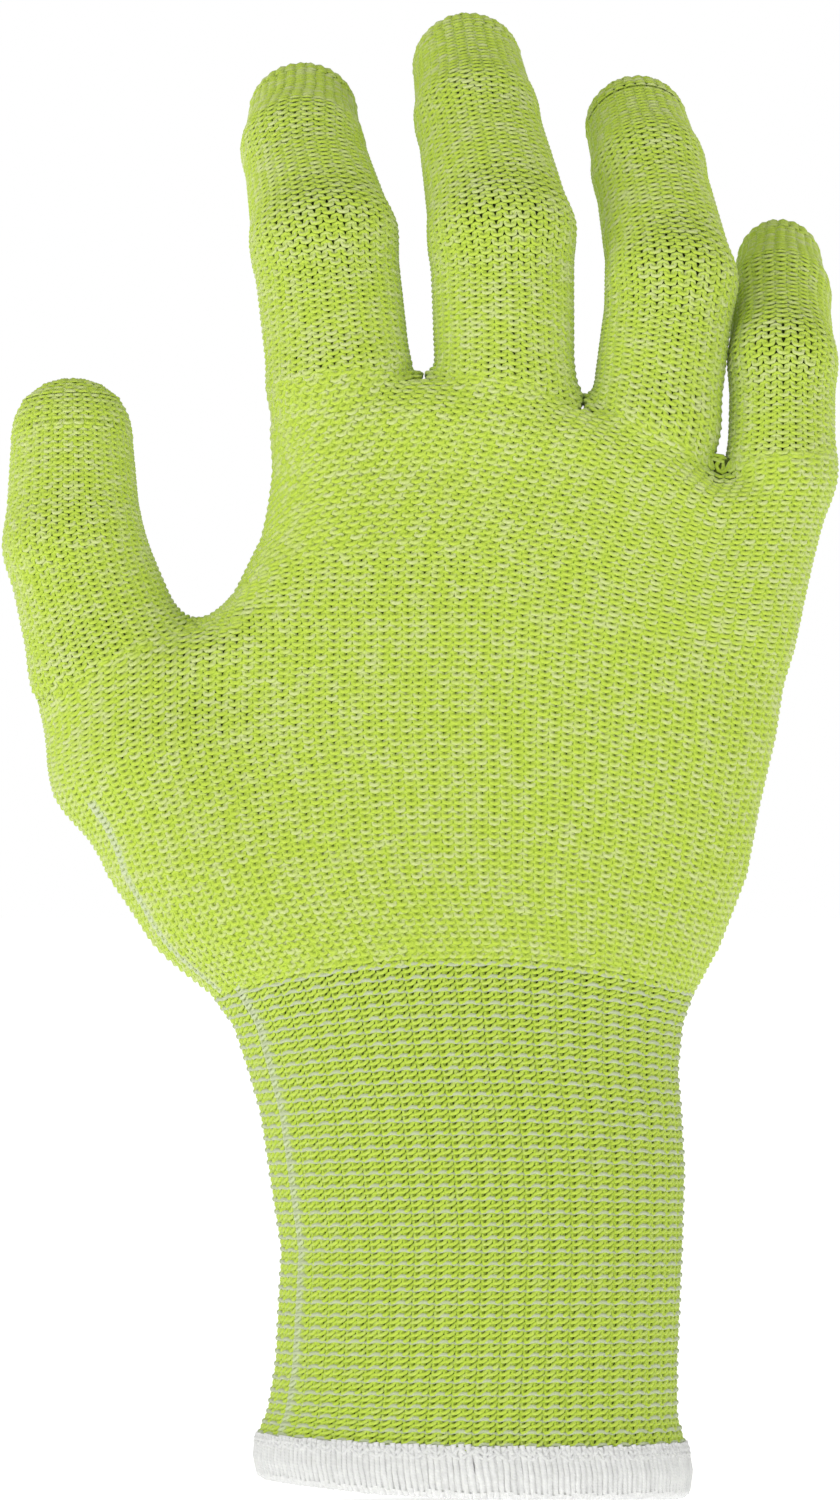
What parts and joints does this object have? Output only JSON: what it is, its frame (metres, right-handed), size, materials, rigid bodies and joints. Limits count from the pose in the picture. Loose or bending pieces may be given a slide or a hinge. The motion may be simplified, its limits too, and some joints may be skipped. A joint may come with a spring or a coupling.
{
  "type": "cut resistant glove",
  "caption": "Seamless knitted cut resistant glove for the right hand, with a ribbed elastic cuff, an overlocked hem and jointed fingers and thumb that bend as a worn glove does.",
  "frame": {"origin": "centre of the cuff mouth, in the plane of the hem's edge", "axes": "+Z from the cuff to the fingertips, +X to the little finger, +Y to the palm side, so the back of the hand faces -Y"},
  "size_m": [0.14, 0.0655, 0.2495],
  "materials": {
    "lime_knit": "matte high-visibility yarn with grey-white core strands, 13 gauge plain knit",
    "grey_elastic": "matte covered elastic yarn",
    "white_thread": "matte textured overlock thread"
  },
  "bodies": {
    "cuff": {"cuff_rib_knit": "lime_knit", "cuff_elastic_yarn": "grey_elastic", "hem_upper_looper_thread": "white_thread", "hem_lower_looper_thread": "white_thread", "hem_needle_thread": "white_thread"},
    "hand": {"lower_hand_knit": "lime_knit", "upper_hand_knit": "lime_knit"},
    "index_proximal": {"index_proximal_knit": "lime_knit"},
    "index_middle": {"index_middle_knit": "lime_knit"},
    "index_tip": {"index_tip_knit": "lime_knit"},
    "middle_proximal": {"middle_proximal_knit": "lime_knit"},
    "middle_middle": {"middle_middle_knit": "lime_knit"},
    "middle_tip": {"middle_tip_knit": "lime_knit"},
    "ring_proximal": {"ring_proximal_knit": "lime_knit"},
    "ring_middle": {"ring_middle_knit": "lime_knit"},
    "ring_tip": {"ring_tip_knit": "lime_knit"},
    "little_proximal": {"little_proximal_knit": "lime_knit"},
    "little_middle": {"little_middle_knit": "lime_knit"},
    "little_tip": {"little_tip_knit": "lime_knit"},
    "thumb_proximal": {"thumb_proximal_knit": "lime_knit"},
    "thumb_tip": {"thumb_tip_knit": "lime_knit"}
  },
  "joints": [
    {"name": "wrist", "type": "hinge", "parent": "cuff", "child": "hand", "pos_m": [-0.002, 0, 0.084], "axis": [-1, 0, 0], "range_deg": [-25, 25]},
    {"name": "index_root", "type": "hinge", "parent": "hand", "child": "index_proximal", "pos_m": [-0.0222, 0, 0.186], "axis": [-1, 0, 0], "range_deg": [-20, 60]},
    {"name": "index_knuckle", "type": "hinge", "parent": "index_proximal", "child": "index_middle", "pos_m": [-0.0245, 0.0045, 0.2105], "axis": [-1, 0, 0], "range_deg": [-30, 45]},
    {"name": "index_end", "type": "hinge", "parent": "index_middle", "child": "index_tip", "pos_m": [-0.0276, 0.0204, 0.2265], "axis": [-1, 0, 0], "range_deg": [-18, 27]},
    {"name": "middle_root", "type": "hinge", "parent": "hand", "child": "middle_proximal", "pos_m": [0.0055, 0, 0.185], "axis": [-1, 0, 0], "range_deg": [-20, 60]},
    {"name": "middle_knuckle", "type": "hinge", "parent": "middle_proximal", "child": "middle_middle", "pos_m": [0.0054, 0.0037, 0.2115], "axis": [-1, 0, 0], "range_deg": [-30, 45]},
    {"name": "middle_end", "type": "hinge", "parent": "middle_middle", "child": "middle_tip", "pos_m": [0.0022, 0.021, 0.232], "axis": [-1, 0, 0], "range_deg": [-18, 27]},
    {"name": "ring_root", "type": "hinge", "parent": "hand", "child": "ring_proximal", "pos_m": [0.0302, 0, 0.1795], "axis": [-1, 0, 0], "range_deg": [-20, 60]},
    {"name": "ring_knuckle", "type": "hinge", "parent": "ring_proximal", "child": "ring_middle", "pos_m": [0.0322, 0.004, 0.2035], "axis": [-1, 0, 0], "range_deg": [-30, 45]},
    {"name": "ring_end", "type": "hinge", "parent": "ring_middle", "child": "ring_tip", "pos_m": [0.0296, 0.021, 0.223], "axis": [-1, 0, 0], "range_deg": [-18, 27]},
    {"name": "little_root", "type": "hinge", "parent": "hand", "child": "little_proximal", "pos_m": [0.0516, 0.001, 0.1715], "axis": [-1, 0, 0], "range_deg": [-20, 60]},
    {"name": "little_knuckle", "type": "hinge", "parent": "little_proximal", "child": "little_middle", "pos_m": [0.0524, 0.0042, 0.19], "axis": [-1, 0, 0], "range_deg": [-30, 45]},
    {"name": "little_end", "type": "hinge", "parent": "little_middle", "child": "little_tip", "pos_m": [0.0522, 0.018, 0.2015], "axis": [-1, 0, 0], "range_deg": [-18, 27]},
    {"name": "thumb_root", "type": "hinge", "parent": "hand", "child": "thumb_proximal", "pos_m": [-0.0593, 0.002, 0.1397], "axis": [-0.8746, 0, -0.4848], "range_deg": [-10, 35]},
    {"name": "thumb_knuckle", "type": "hinge", "parent": "thumb_proximal", "child": "thumb_tip", "pos_m": [-0.0668, 0.003, 0.1595], "axis": [-0.9901, 0, -0.1405], "range_deg": [-20, 40]}
  ],
  "couplings": [
    {"joint": "index_end", "follows": "index_knuckle", "ratio": 0.6},
    {"joint": "middle_end", "follows": "middle_knuckle", "ratio": 0.6},
    {"joint": "ring_end", "follows": "ring_knuckle", "ratio": 0.6},
    {"joint": "little_end", "follows": "little_knuckle", "ratio": 0.6}
  ]
}
